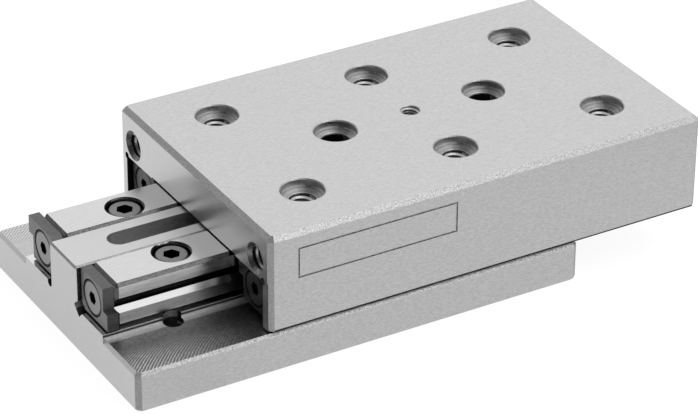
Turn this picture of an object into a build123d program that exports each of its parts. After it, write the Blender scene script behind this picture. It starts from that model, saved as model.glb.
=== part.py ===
import os
from math import sqrt

from build123d import *

# A crossed-roller precision slide. X is the travel, near is -Y, +Z is up, and the origin is the
# middle of the base's underside. All sizes are in millimetres.

# Base and carriage
body_length = 80.0
flange_height = 7.0
seat_step = 1.0
seat_lip = 0.8
rib_width = 9.0
rib_drop = 0.2
rib_bevel = 0.3
leg_thickness = 2.2
leg_gap = 0.4
plate_thickness = 8.4
pocket_lip = 0.5
channel_step = 0.25
body_bevel = 0.8
flange_bevel = 0.5
far_relief_radius = 0.7
far_relief_outward = 0.4
far_relief_drop = 0.25
undercut_width = 2.3
undercut_depth = 0.15
undercut_shift = 0.3
pocket_relief_radius = 0.6

# The carriage slides this far each way from the middle, and is shown pushed out along X
travel = 25.0
rest_offset = 23.0

# Crossed rollers and the rails they run between
roller_diameter = 3.0
roller_end_play = 0.1
roller_play = 0.02
rail_width = 8.3
rail_height = 7.6
rail_gap = 1.7
rail_bevel = 0.55
rail_end_bevel = 0.65
groove_relief_width = 1.0
groove_relief_depth = 2.0
rail_hole_pitch = 25.0
rail_hole_end_least = 7.0
rail_hole_inset = 3.5

# Roller cages
roller_pitch = 5.0
cage_spare_travel = 1.0
cage_end_least = 3.0
cage_strip_thickness = 0.8
cage_strip_height = 6.4
cage_core_side = 2.4
pocket_play = 0.06
pocket_end_play = 0.1

# End plates that keep the cages in, with their screws
end_plate_thickness = 1.9
end_plate_setback = 0.85
end_plate_edge_gap = 0.3
end_plate_back_gap = 0.4
end_plate_inset = 0.5
end_plate_lip = 0.9
end_plate_step = 0.5
end_plate_corner = 0.9
end_head_radius = 2.9
end_head_height = 0.85
end_head_play = 0.2
end_head_sink = 0.05
end_hex = 2.0
end_hex_depth = 0.6
end_hole_play = 0.1
end_screw_length = 6.5

# M3 cap screws that hold the rails
thread_radius = 1.5
thread_play = 0.05
cap_head_radius = 2.75
cap_head_height = 3.0
cap_head_bevel = 0.3
cap_hex = 2.5
cap_hex_depth = 1.5
cap_head_play = 0.25
cap_head_sink = 0.4
cap_bore_bevel = 0.25
clearance_play = 0.2
base_screw_length = 10.0
carriage_screw_length = 8.0
tap_runout = 1.0
countersink_taper = 45.0

# Mounting holes of the carriage and the base
hole_spacing_x = 28.0
hole_spacing_y = 14.0
through_spacing = 14.0
centring_radius = 3.5
centring_depth = 1.3
centring_bevel = 0.2
ledge_radius = 3.0
ledge_depth = 0.4
mount_thread_radius = 2.0
mount_thread_mouth = 0.2
mount_thread_depth = 6.5
through_radius = 2.25
base_thread_depth = 5.0
base_core_radius = 1.65
end_face_thread_inset = 4.6
end_face_thread_drop = 5.5
end_face_thread_depth = 8.0
end_face_mouth_radius = 2.6

# Slot in the rib, and the stop screw that runs in it
slot_length = 64.0
slot_width = 4.0
slot_depth = 4.5
stop_screw_length = 8.0
stop_screw_sink = 3.5
stop_point_radius = 1.25
stop_point_length = 3.4
stop_hex = 1.5
stop_hex_depth = 1.6
stop_mouth_bevel = 0.15

# Preload screws in the far leg
preload_gap = 0.1
preload_screw_sink = 0.2
preload_hex = 1.5
preload_hex_depth = 0.9

# Empty frame engraved in the carriage's near side
frame_length = 28.7
frame_height = 5.4
frame_line = 0.3
frame_depth = 0.15
frame_from_end = 5.0
frame_from_top = 2.8

# Heights and widths that follow from these
seat_z = flange_height + seat_step
centre_z = seat_z + rail_height / 2
pocket_roof_z = seat_z + rail_height
rib_height = pocket_roof_z - rib_drop
channel_roof_z = pocket_roof_z + channel_step
top_z = pocket_roof_z + plate_thickness
leg_bottom_z = flange_height + leg_gap
leg_height = top_z - leg_bottom_z
rib_half = rib_width / 2
inner_face_y = rib_half + rail_width
roller_y = inner_face_y + rail_gap / 2
outer_face_y = inner_face_y + rail_gap
outer_back_y = outer_face_y + rail_width
side_y = outer_back_y + leg_thickness
seat_edge_y = inner_face_y + seat_lip
undercut_y = -rib_half + (undercut_depth - undercut_shift) / sqrt(2)
undercut_z = seat_z - (undercut_depth + undercut_shift) / sqrt(2)
pocket_edge_y = outer_face_y - pocket_lip
end_face_thread_y = side_y - end_face_thread_inset
rail_hole_y = rib_half + rail_hole_inset
outer_hole_y = outer_back_y - rail_hole_inset
body_width = 2 * side_y

# Sizes of the rails, rollers, cages, plates and screw holes that follow
rail_length = body_length - 2 * (end_plate_thickness + end_plate_setback)
rail_hole_count = int((rail_length - 2 * rail_hole_end_least) / rail_hole_pitch) + 1
groove_reach = (roller_diameter / 2 + roller_play) * sqrt(2)
groove_depth = groove_reach - rail_gap / 2
roller_length = roller_diameter - 2 * roller_end_play
cage_length = rail_length - travel - 2 * cage_spare_travel
rollers_per_cage = int((cage_length - 2 * cage_end_least) / roller_pitch) + 1
cage_x = rest_offset / 2
pocket_side = roller_diameter + 2 * pocket_play
pocket_half = roller_length / 2 + pocket_end_play
screw_radius = thread_radius - thread_play
tapped_radius = thread_radius + thread_play
clearance_radius = thread_radius + clearance_play
cap_bore_radius = cap_head_radius + cap_head_play
cap_bore_depth = cap_head_height + cap_head_sink
under_cap_head = rail_height - cap_bore_depth
end_plate_height = rail_height - 2 * end_plate_edge_gap
end_hole_radius = thread_radius + end_hole_play
end_recess_radius = end_head_radius + end_head_play
end_recess_depth = end_head_height + end_head_sink
under_end_head = end_plate_thickness - end_recess_depth
near, far = -1, 1
front, rear = -1, 1

os.makedirs("parts", exist_ok=True)


def save(part, label):
    """Give a finished piece its name and write it."""
    part.label = label
    export_step(part, f"parts/{label}.step")


def rail_hole_places(middle_x):
    """X of the screw holes of a rail whose middle is at middle_x."""
    first = middle_x - (rail_hole_count - 1) * rail_hole_pitch / 2
    return [first + index * rail_hole_pitch for index in range(rail_hole_count)]


def end_plane(end_x, back_y, towards, outward):
    """Plane on a rail's end: local x runs from the rail's back to its groove."""
    return Plane(origin=(end_x, back_y, centre_z), x_dir=(0, towards, 0), z_dir=(outward, 0, 0))


# Base: inverted T with rail seats, root reliefs, a slot in the rib, and holes
with BuildPart() as base:
    with BuildSketch(Plane.YZ.offset(-body_length / 2)):
        with BuildLine():
            Polyline(
                (0, 0),
                (side_y, 0),
                (side_y, flange_height),
                (seat_edge_y, flange_height),
                (seat_edge_y, seat_z),
                (rib_half, seat_z),
                (rib_half, rib_height),
                (0, rib_height),
            )
            mirror(about=Plane.YZ)
        make_face()
    extrude(amount=body_length)
    upright_edges = base.edges().filter_by(Axis.Z)
    chamfer(upright_edges.group_by(Axis.Y)[0] + upright_edges.group_by(Axis.Y)[-1], body_bevel)
    chamfer(base.faces().sort_by(Axis.Z)[0].edges(), flange_bevel)
    with BuildSketch(Plane.XY.offset(seat_z)):
        with GridLocations(body_length, rib_width, 2, 2):
            Rectangle(rib_bevel * sqrt(2), rib_bevel * sqrt(2), rotation=45)
    extrude(amount=rib_height - seat_z, mode=Mode.SUBTRACT)
    chamfer(base.faces().sort_by(Axis.Z)[-1].edges(), rib_bevel)
    flange_tops = base.faces().filter_by(Plane.XY).filter_by_position(
        Axis.Z, flange_height, flange_height
    )
    rims = flange_tops.edges().filter_by(
        lambda edge: abs(edge.center().Y) > seat_edge_y + flange_bevel
    )
    chamfer(rims, flange_bevel)
    with BuildSketch(Plane.YZ.offset(-body_length / 2)):
        with Locations((rib_half + far_relief_outward, seat_z - far_relief_drop)):
            Circle(far_relief_radius)
        with Locations((undercut_y, undercut_z)):
            Rectangle(
                undercut_width, undercut_width, rotation=45, align=(Align.CENTER, Align.MIN)
            )
    extrude(amount=body_length, mode=Mode.SUBTRACT)
    with BuildSketch(Plane.XY.offset(rib_height)):
        SlotOverall(slot_length, slot_width)
    extrude(amount=-slot_depth, mode=Mode.SUBTRACT)
    with Locations(
        *[(x, y, seat_z) for x in rail_hole_places(0) for y in (-rail_hole_y, rail_hole_y)]
    ):
        Hole(tapped_radius, depth=base_screw_length + tap_runout - under_cap_head)
    with BuildSketch(Plane.XY):
        with GridLocations(2 * hole_spacing_x, 2 * hole_spacing_y, 2, 2):
            Circle(base_core_radius)
    extrude(amount=seat_z, mode=Mode.SUBTRACT)
    with BuildSketch(Plane.XY):
        with GridLocations(2 * hole_spacing_x, 2 * hole_spacing_y, 2, 2):
            Circle(mount_thread_radius)
    extrude(amount=base_thread_depth, mode=Mode.SUBTRACT)
save(base.part, "base")


# Carriage: a bevelled block, then the channel and pockets for the rails, then its holes
carriage_front = rest_offset - body_length / 2
side_holes = [(rest_offset, -hole_spacing_y), (rest_offset, hole_spacing_y)]
corner_holes = [
    (rest_offset + x, y)
    for x in (-hole_spacing_x, hole_spacing_x)
    for y in (-hole_spacing_y, hole_spacing_y)
]
through_holes = [(rest_offset - through_spacing, 0), (rest_offset + through_spacing, 0)]
with BuildPart() as carriage:
    with BuildSketch(Plane.XY.offset(leg_bottom_z)):
        with Locations((rest_offset, 0)):
            Rectangle(body_length, body_width)
    extrude(amount=leg_height)
    chamfer(carriage.edges().filter_by(Axis.Z), body_bevel)
    chamfer(carriage.faces().sort_by(Axis.Z)[-1].edges(), body_bevel)
    with BuildSketch(Plane.YZ.offset(carriage_front)):
        with BuildLine():
            Polyline(
                (-outer_back_y, leg_bottom_z),
                (-outer_back_y, pocket_roof_z),
                (-pocket_edge_y, pocket_roof_z),
                (-pocket_edge_y, channel_roof_z),
                (pocket_edge_y, channel_roof_z),
                (pocket_edge_y, pocket_roof_z),
                (outer_back_y + preload_gap, pocket_roof_z),
                (outer_back_y + preload_gap, leg_bottom_z),
                close=True,
            )
        make_face()
        with Locations((-outer_back_y, pocket_roof_z), (outer_back_y, pocket_roof_z)):
            Circle(pocket_relief_radius)
    extrude(amount=body_length, mode=Mode.SUBTRACT)
    for places, radius, depth in (
        (corner_holes + side_holes, mount_thread_radius, mount_thread_depth),
        (through_holes, through_radius, plate_thickness),
    ):
        with BuildSketch(Plane.XY.offset(top_z)):
            with Locations(*places):
                Circle(centring_radius)
        extrude(amount=-centring_depth, mode=Mode.SUBTRACT)
        with BuildSketch(Plane.XY.offset(top_z - centring_depth)):
            with Locations(*places):
                Circle(ledge_radius)
        extrude(amount=-ledge_depth, mode=Mode.SUBTRACT)
        with BuildSketch(Plane.XY.offset(top_z)):
            with Locations(*places):
                Circle(radius)
        extrude(amount=-depth, mode=Mode.SUBTRACT)
        with BuildSketch(Plane.XY.offset(top_z - centring_depth - ledge_depth)):
            with Locations(*places):
                Circle(radius + mount_thread_mouth)
        extrude(amount=-mount_thread_mouth, taper=countersink_taper, mode=Mode.SUBTRACT)
    with Locations((rest_offset, 0, top_z)):
        Hole(tapped_radius, depth=plate_thickness)
    top_rims = carriage.faces().sort_by(Axis.Z)[-1].edges().filter_by(GeomType.CIRCLE)
    chamfer(top_rims.filter_by(lambda edge: edge.radius > ledge_radius), centring_bevel)
    chamfer(top_rims.filter_by(lambda edge: edge.radius < ledge_radius), stop_mouth_bevel)
    with Locations(
        *[
            (x, y, pocket_roof_z)
            for x in rail_hole_places(rest_offset)
            for y in (-outer_hole_y, outer_hole_y)
        ]
    ):
        with Locations(Location((0, 0, 0), (180, 0, 0))):
            Hole(tapped_radius, depth=carriage_screw_length + tap_runout - under_cap_head)
    for end in (front, rear):
        for side in (near, far):
            mouth = Plane(
                origin=(
                    rest_offset + end * body_length / 2,
                    side * end_face_thread_y,
                    top_z - end_face_thread_drop,
                ),
                z_dir=(end, 0, 0),
            )
            with Locations(mouth.location):
                Hole(mount_thread_radius, depth=end_face_thread_depth)
            with BuildSketch(mouth):
                Circle(end_face_mouth_radius)
            extrude(
                amount=-(end_face_mouth_radius - mount_thread_radius),
                taper=countersink_taper,
                mode=Mode.SUBTRACT,
            )
    with Locations(
        *[
            Plane(origin=(x, side_y, centre_z), z_dir=(0, 1, 0)).location
            for x in rail_hole_places(rest_offset)
        ]
    ):
        Hole(tapped_radius, depth=leg_thickness)
    frame_plane = Plane(
        origin=(
            carriage_front + frame_from_end + frame_length / 2,
            -side_y,
            top_z - frame_from_top - frame_height / 2,
        ),
        x_dir=(1, 0, 0),
        z_dir=(0, -1, 0),
    )
    with BuildSketch(frame_plane):
        Rectangle(frame_length, frame_height)
        Rectangle(
            frame_length - 2 * frame_line,
            frame_height - 2 * frame_line,
            mode=Mode.SUBTRACT,
        )
    extrude(amount=-frame_depth, mode=Mode.SUBTRACT)
save(carriage.part, "carriage")


def make_rail(middle_x, back_y, towards, screwed_from_above):
    """A V-grooved rail with counterbored screw holes and a tapped hole in each end."""
    start_x = middle_x - rail_length / 2
    head_z = centre_z + rail_height / 2 if screwed_from_above else centre_z - rail_height / 2
    turn = 0 if screwed_from_above else 180
    with BuildPart() as rail:
        section = end_plane(start_x, back_y, towards, rear)
        with BuildSketch(section):
            with Locations((rail_width / 2, 0)):
                Rectangle(rail_width, rail_height)
            chamfer(vertices(), rail_bevel)
        extrude(amount=rail_length)
        end_faces = rail.faces().filter_by(Axis.X)
        chamfer(end_faces.edges(), rail_end_bevel)
        with BuildSketch(section):
            with BuildLine():
                Polyline(
                    (rail_width, groove_depth),
                    (rail_width - groove_depth, 0),
                    (rail_width, -groove_depth),
                    close=True,
                )
            make_face()
            with Locations((rail_width - groove_relief_depth / 2, 0)):
                Rectangle(groove_relief_depth, groove_relief_width)
        extrude(amount=rail_length, mode=Mode.SUBTRACT)
        hole_y = back_y + towards * rail_hole_inset
        with Locations(
            *[Location((x, hole_y, head_z), (turn, 0, 0)) for x in rail_hole_places(middle_x)]
        ):
            CounterBoreHole(clearance_radius, cap_bore_radius, cap_bore_depth, rail_height)
        for x in rail_hole_places(middle_x):
            up = 1 if screwed_from_above else -1
            with BuildSketch(Plane(origin=(x, hole_y, head_z), z_dir=(0, 0, up))):
                Circle(cap_bore_radius + cap_bore_bevel)
            extrude(amount=-cap_bore_bevel, taper=countersink_taper, mode=Mode.SUBTRACT)
        for end in (front, rear):
            face = end_plane(middle_x + end * rail_length / 2, back_y, towards, end)
            with Locations(face.location * Location((rail_width / 2, 0, 0))):
                Hole(tapped_radius, depth=end_screw_length + tap_runout - under_end_head)
    return rail.part


def make_end_plate(end_x, back_y, towards, outward):
    """An L-shaped plate: its wide half closes one side of the groove, and holds the cage in."""
    half = end_plate_height / 2
    with BuildPart() as plate:
        seat = end_plane(end_x, back_y, towards, outward)
        with BuildSketch(seat):
            with BuildLine():
                Polyline(
                    (end_plate_back_gap, half),
                    (rail_width - end_plate_inset, half),
                    (rail_width - end_plate_inset, -end_plate_step),
                    (rail_width + end_plate_lip, -end_plate_step),
                    (rail_width + end_plate_lip, -half),
                    (end_plate_back_gap + end_plate_corner, -half),
                    (end_plate_back_gap, -half + end_plate_corner),
                    close=True,
                )
            make_face()
            with Locations((rail_width / 2, 0)):
                Circle(end_hole_radius, mode=Mode.SUBTRACT)
        extrude(amount=end_plate_thickness)
        with BuildSketch(seat.offset(end_plate_thickness)):
            with Locations((rail_width / 2, 0)):
                Circle(end_recess_radius)
        extrude(amount=-end_recess_depth, mode=Mode.SUBTRACT)
    return plate.part


def make_end_screws(middle_x, rail_backs):
    """The flat-headed screws of the end plates at both ends of two rails."""
    with BuildPart() as screws:
        for back_y, towards in rail_backs:
            for end in (front, rear):
                face = end_plane(middle_x + end * rail_length / 2, back_y, towards, end)
                with BuildSketch(face.offset(under_end_head)):
                    with Locations((rail_width / 2, 0)):
                        Circle(end_head_radius)
                extrude(amount=end_head_height)
                with BuildSketch(face.offset(under_end_head)):
                    with Locations((rail_width / 2, 0)):
                        Circle(screw_radius)
                extrude(amount=-end_screw_length)
                with BuildSketch(face.offset(under_end_head + end_head_height)):
                    with Locations((rail_width / 2, 0)):
                        RegularPolygon(end_hex / 2, 6, major_radius=False)
                extrude(amount=-end_hex_depth, mode=Mode.SUBTRACT)
    return screws.part


def make_cap_screws(places, head_z, down, shank_length):
    """Socket cap screws on one level, with their shanks pointing down or up."""
    with BuildPart() as screws:
        heads = Plane(origin=(0, 0, head_z), x_dir=(1, 0, 0), z_dir=(0, 0, -down))
        flipped = [(x, -down * y) for x, y in places]
        with BuildSketch(heads):
            with Locations(*flipped):
                Circle(cap_head_radius)
        extrude(amount=cap_head_height)
        tops = screws.edges().group_by(Axis.Z)[-1 if down < 0 else 0]
        chamfer(tops, cap_head_bevel)
        with BuildSketch(heads):
            with Locations(*flipped):
                Circle(screw_radius)
        extrude(amount=-shank_length)
        with BuildSketch(heads.offset(cap_head_height)):
            with Locations(*flipped):
                RegularPolygon(cap_hex / 2, 6, major_radius=False)
        extrude(amount=-cap_hex_depth, mode=Mode.SUBTRACT)
    return screws.part


# Each rail: name, middle, back face, the way its groove looks, and where its screws go in
rails = (
    ("inner", "near", 0, near * rib_half, near, True),
    ("inner", "far", 0, far * rib_half, far, True),
    ("outer", "near", rest_offset, near * outer_back_y, far, False),
    ("outer", "far", rest_offset, far * outer_back_y, near, False),
)
for ring, side_name, middle_x, back_y, towards, from_above in rails:
    save(make_rail(middle_x, back_y, towards, from_above), f"{ring}_rail_{side_name}")
    for end, end_name in ((front, "front"), (rear, "rear")):
        end_x = middle_x + end * rail_length / 2
        plate_name = f"{ring}_end_plate_{side_name}_{end_name}"
        save(make_end_plate(end_x, back_y, towards, end), plate_name)

save(make_end_screws(0, [rail[3:5] for rail in rails[:2]]), "inner_end_plate_screws")
save(make_end_screws(rest_offset, [rail[3:5] for rail in rails[2:]]), "outer_end_plate_screws")

inner_places = [(x, side * rail_hole_y) for x in rail_hole_places(0) for side in (near, far)]
outer_places = [
    (x, side * outer_hole_y) for x in rail_hole_places(rest_offset) for side in (near, far)
]
inner_head_z = seat_z + rail_height - cap_bore_depth
outer_head_z = seat_z + cap_bore_depth
save(make_cap_screws(inner_places, inner_head_z, -1, base_screw_length), "inner_rail_screws")
save(make_cap_screws(outer_places, outer_head_z, 1, carriage_screw_length), "outer_rail_screws")


# Preload screws: flush in the far leg, with their tips on the outer rail's back
with BuildPart() as preload_screws:
    for x in rail_hole_places(rest_offset):
        tip = Plane(origin=(x, outer_back_y, centre_z), x_dir=(1, 0, 0), z_dir=(0, 1, 0))
        length = leg_thickness - preload_screw_sink
        with BuildSketch(tip):
            Circle(screw_radius)
        extrude(amount=length)
        with BuildSketch(tip.offset(length)):
            RegularPolygon(preload_hex / 2, 6, major_radius=False)
        extrude(amount=-preload_hex_depth, mode=Mode.SUBTRACT)
save(preload_screws.part, "preload_screws")


# Travel stop: a set screw whose thin point runs in the rib's slot
stop_top = Plane(origin=(rest_offset, 0, top_z - stop_screw_sink))
with BuildPart() as travel_stop_screw:
    with BuildSketch(stop_top):
        Circle(screw_radius)
    extrude(amount=-(stop_screw_length - stop_point_length))
    with BuildSketch(stop_top):
        Circle(stop_point_radius)
    extrude(amount=-stop_screw_length)
    with BuildSketch(stop_top):
        RegularPolygon(stop_hex / 2, 6, major_radius=False)
    extrude(amount=-stop_hex_depth, mode=Mode.SUBTRACT)
save(travel_stop_screw.part, "travel_stop_screw")


# Cages and crossed rollers: each roller's axis stands at a right angle to its neighbour's
first_roller_x = cage_x - (rollers_per_cage - 1) * roller_pitch / 2
for side, side_name in ((near, "near"), (far, "far")):
    roller_planes = []
    for index in range(rollers_per_cage):
        lean = 1 if index % 2 == 0 else -1
        centre = (first_roller_x + index * roller_pitch, side * roller_y, centre_z)
        roller_planes.append(Plane(origin=centre, x_dir=(1, 0, 0), z_dir=(0, lean, 1)))

    with BuildPart() as cage:
        middle = Plane.YZ.offset(cage_x - cage_length / 2)
        with BuildSketch(middle):
            with Locations((side * roller_y, centre_z)):
                Rectangle(cage_strip_thickness, cage_strip_height)
                Rectangle(cage_core_side, cage_core_side, rotation=45)
        extrude(amount=cage_length)
        for plane in roller_planes:
            with BuildSketch(plane):
                Rectangle(pocket_side, pocket_side)
            extrude(amount=pocket_half, both=True, mode=Mode.SUBTRACT)
    save(cage.part, f"cage_{side_name}")

    for index, plane in enumerate(roller_planes, start=1):
        with BuildPart() as roller:
            with BuildSketch(plane):
                Circle(roller_diameter / 2)
            extrude(amount=roller_length / 2, both=True)
        save(roller.part, f"roller_{side_name}_{index}")
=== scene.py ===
# Finishes, screw threads and studio of a crossed-roller precision slide
import math

import bmesh
import bpy
from bpy.props import FloatProperty, FloatVectorProperty, IntProperty, PointerProperty, StringProperty
from mathutils import Matrix, Vector


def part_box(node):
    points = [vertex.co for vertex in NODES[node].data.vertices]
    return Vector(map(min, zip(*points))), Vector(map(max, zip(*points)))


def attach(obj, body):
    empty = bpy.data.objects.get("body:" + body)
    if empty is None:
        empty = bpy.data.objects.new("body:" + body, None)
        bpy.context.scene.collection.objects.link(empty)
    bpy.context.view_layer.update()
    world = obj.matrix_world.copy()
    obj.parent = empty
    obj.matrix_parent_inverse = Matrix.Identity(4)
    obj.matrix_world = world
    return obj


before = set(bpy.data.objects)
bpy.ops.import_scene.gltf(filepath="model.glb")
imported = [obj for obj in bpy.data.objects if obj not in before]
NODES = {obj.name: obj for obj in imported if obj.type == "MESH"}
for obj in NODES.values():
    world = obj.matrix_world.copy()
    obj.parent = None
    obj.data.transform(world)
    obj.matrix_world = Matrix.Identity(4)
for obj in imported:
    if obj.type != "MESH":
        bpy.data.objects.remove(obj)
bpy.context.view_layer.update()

bl_info = {
    "name": "Crossed Roller Slide",
    "version": (1, 0, 0),
    "blender": (4, 5, 0),
    "location": "View3D > Sidebar > Slide",
    "description": "Finishes, tapped threads and a studio for a crossed-roller precision slide",
    "category": "Object",
}

MM = 0.001

# Corners and middles of the main pieces
BASE_HIGH = Vector(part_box("base")[1])
CARRIAGE_LOW, CARRIAGE_HIGH = (Vector(corner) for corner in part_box("carriage"))
RAIL_LOW, RAIL_HIGH = (Vector(corner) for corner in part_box("inner_rail_near"))
CARRIAGE_MIDDLE = (CARRIAGE_LOW.x + CARRIAGE_HIGH.x) / 2
CARRIAGE_HALF = CARRIAGE_HIGH.x - CARRIAGE_MIDDLE
RAIL_HALF = (RAIL_HIGH.x - RAIL_LOW.x) / 2
RAIL_HALF_WIDTH = (RAIL_HIGH.y - RAIL_LOW.y) / 2
RAIL_HALF_HEIGHT = (RAIL_HIGH.z - RAIL_LOW.z) / 2
RAIL_LEVEL = (RAIL_LOW.z + RAIL_HIGH.z) / 2
INNER_RAIL_MIDDLE = -(RAIL_LOW.y + RAIL_HIGH.y) / 2
OUTER_RAIL_MIDDLE = sum(corner[1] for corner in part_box("outer_rail_far")) / 2

# The plane between the end plates of the inner and of the outer rails
PLATE_PARTING = 13.6 * MM

# How much of a face's normal lies along an axis: 1 on a face square to the axis, 0.71 on a bevel and
# 0 on a face that lies along it. Masks tell the faces apart by these limits.
LYING_ALONG = 0.1
TURNED = 0.3
LEANING = 0.6
BEVEL_MOST = 0.8
SQUARE = 0.9
FLAT = 0.97


# Sizes and colours a user would change


class SlideThreads(bpy.types.PropertyGroup):
    """Tapped threads, drawn as one rising ridge in each hole."""

    mount_pitch: FloatProperty(
        name="Mounting pitch", description="Rise per turn of the M4 threads",
        default=0.7 * MM, min=0.2 * MM, unit="LENGTH")
    stop_pitch: FloatProperty(
        name="Stop pitch", description="Rise per turn of the M3 thread in the middle",
        default=0.5 * MM, min=0.2 * MM, unit="LENGTH")
    mount_radius: FloatProperty(
        name="Mounting radius", description="Root radius of the M4 threads",
        default=2.0 * MM, unit="LENGTH")
    stop_radius: FloatProperty(
        name="Stop radius", description="Root radius of the M3 thread",
        default=1.55 * MM, unit="LENGTH")
    spacing_x: FloatProperty(
        name="Hole spacing along", description="From the middle to the outer mounting holes",
        default=28.0 * MM, unit="LENGTH")
    spacing_y: FloatProperty(
        name="Hole spacing across", description="From the middle to a row of mounting holes",
        default=14.0 * MM, unit="LENGTH")
    mount_top: FloatProperty(
        name="Thread start", description="Depth of the first turn under the carriage's top",
        default=2.2 * MM, unit="LENGTH")
    mount_end: FloatProperty(
        name="Thread end", description="Depth of the last turn under the carriage's top",
        default=6.2 * MM, unit="LENGTH")
    stop_top: FloatProperty(
        name="Stop thread start", description="Depth of the M3 thread's first turn",
        default=0.35 * MM, unit="LENGTH")
    stop_end: FloatProperty(
        name="Stop thread end", description="Depth of the M3 thread's last turn, over the stop screw",
        default=3.3 * MM, unit="LENGTH")
    end_inset: FloatProperty(
        name="End hole inset", description="From the carriage's side to its end-face holes",
        default=4.6 * MM, unit="LENGTH")
    end_drop: FloatProperty(
        name="End hole drop", description="From the carriage's top to its end-face holes",
        default=5.5 * MM, unit="LENGTH")
    end_top: FloatProperty(
        name="End thread start", description="Depth of the first turn in the end faces",
        default=0.9 * MM, unit="LENGTH")
    end_depth: FloatProperty(
        name="End thread depth", description="Depth of the threads in the end faces",
        default=7.6 * MM, unit="LENGTH")
    steps: IntProperty(
        name="Steps per turn", description="Sides of each turn of a thread", default=28, min=8)


class SlideFinishes(bpy.types.PropertyGroup):
    """Colours of the metals and of the cage, with tones of painted light and shade, and sizes of the
    marks that the machines left.
    """

    ground_light: StringProperty(
        name="Ground steel, light", description="Bright tracks of the grinding wheel", default="#DCDCDC")
    ground_dark: StringProperty(
        name="Ground steel, dark", description="Dull tracks of the grinding wheel", default="#C4C4C4")
    # Painted light: tones that brighten lit faces, on the ends, seats, rail sides, ledges and far flange
    painted_lit_light: StringProperty(
        name="Painted lit, light", description="Bright tracks on the end faces", default="#EEEEEE")
    painted_lit_dark: StringProperty(
        name="Painted lit, dark", description="Dull tracks on the end faces", default="#DEDEDE")
    bevel_light: StringProperty(
        name="Bevel, light", description="Bright flecks of a milled bevel", default="#B8B8B8")
    bevel_dark: StringProperty(
        name="Bevel, dark", description="Dull flecks of a milled bevel", default="#989898")
    # Painted shade: tones that darken bores, grooves, gaps, the channel and overhanging flanks
    painted_shade_light: StringProperty(
        name="Painted shade, light", description="Bores and grooves where the light gets in",
        default="#646464")
    painted_shade_dark: StringProperty(
        name="Painted shade, dark", description="Bores and grooves in the mass", default="#3C3C3C")
    milled_light: StringProperty(
        name="Milled steel, light", description="Bright arcs of the milled flanges", default="#F0F0F0")
    milled_dark: StringProperty(
        name="Milled steel, dark", description="Between the arcs of the milled flanges",
        default="#6A6A6A")
    rail_light: StringProperty(
        name="Rail, light", description="Bright tracks on the hardened rails", default="#DEDEDE")
    rail_dark: StringProperty(
        name="Rail, dark", description="Dull tracks on the hardened rails", default="#D2D2D2")
    scale_light: StringProperty(
        name="Rail bevel, light", description="Rubbed specks of the hardened skin", default="#7A7A7A")
    scale_dark: StringProperty(
        name="Rail bevel, dark", description="Skin of the hardening on the bevels", default="#404040")
    oxide_light: StringProperty(
        name="Black oxide, worn", description="Rubbed edges of the end plates", default="#868686")
    oxide_dark: StringProperty(
        name="Black oxide", description="Full colour of the end plates", default="#4E4E4E")
    # Painted light: the fronts of the end plates, brighter as lit
    lit_front_light: StringProperty(
        name="Plate front, light", description="Front of the end plates, painted lit", default="#A2A2A2")
    lit_front_dark: StringProperty(
        name="Plate front, dark", description="Darker flecks of the painted lit front", default="#787878")
    head_light: StringProperty(
        name="Screw head, light", description="Turned rings of the flat heads", default="#B6B6B6")
    head_dark: StringProperty(
        name="Screw head, dark", description="Between the turned rings", default="#949494")
    cap_light: StringProperty(
        name="Cap screw, light", description="Rubbed top of a socket cap screw", default="#A6A6A6")
    cap_dark: StringProperty(
        name="Cap screw, dark", description="Body colour of a socket cap screw", default="#6C6C6C")
    socket_light: StringProperty(
        name="Socket, light", description="Worn places in the hex sockets", default="#3A3A3A")
    socket_dark: StringProperty(
        name="Socket, dark", description="Thick oxide and shade in the hex sockets",
        default="#1C1C1C")
    roller_light: StringProperty(
        name="Roller, light", description="Lapped steel where it is clean", default="#EFEFF0")
    roller_dark: StringProperty(
        name="Roller, dark", description="Lapped steel under a haze of oil", default="#E4E4E6")
    cage_light: StringProperty(
        name="Cage, light", description="Moulded acetal where the light passes in", default="#D9D6CC")
    cage_dark: StringProperty(
        name="Cage, dark", description="Moulded acetal in the mass", default="#C4C0B4")
    head_radius: FloatProperty(
        name="Head radius", description="Radius of the end plates' flat screw heads",
        default=2.9 * MM, unit="LENGTH")
    grinding_width: FloatProperty(
        name="Grinding line", description="Width of one track of the grinding wheel",
        default=0.13 * MM, unit="LENGTH")
    grinding_length: FloatProperty(
        name="Grinding stroke", description="Length of one track on the base and the carriage",
        default=0.6 * MM, unit="LENGTH")
    rail_stroke: FloatProperty(
        name="Rail stroke", description="Length of one track on the rails", default=3.0 * MM,
        unit="LENGTH")
    milling_feed: FloatProperty(
        name="Milling feed", description="From one arc of the milling cutter to the next",
        default=0.65 * MM, unit="LENGTH")
    milling_radius: FloatProperty(
        name="Milling cutter", description="Radius of the arcs on the flanges",
        default=27.8 * MM, unit="LENGTH")
    milling_beyond: FloatProperty(
        name="Cutter path", description="From the base's side out to the path of the cutter's middle",
        default=17.3 * MM, unit="LENGTH")
    milling_wander: FloatProperty(
        name="Cutter wander", description="How far the arcs stray from an even feed",
        default=0.6 * MM, unit="LENGTH")


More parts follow.
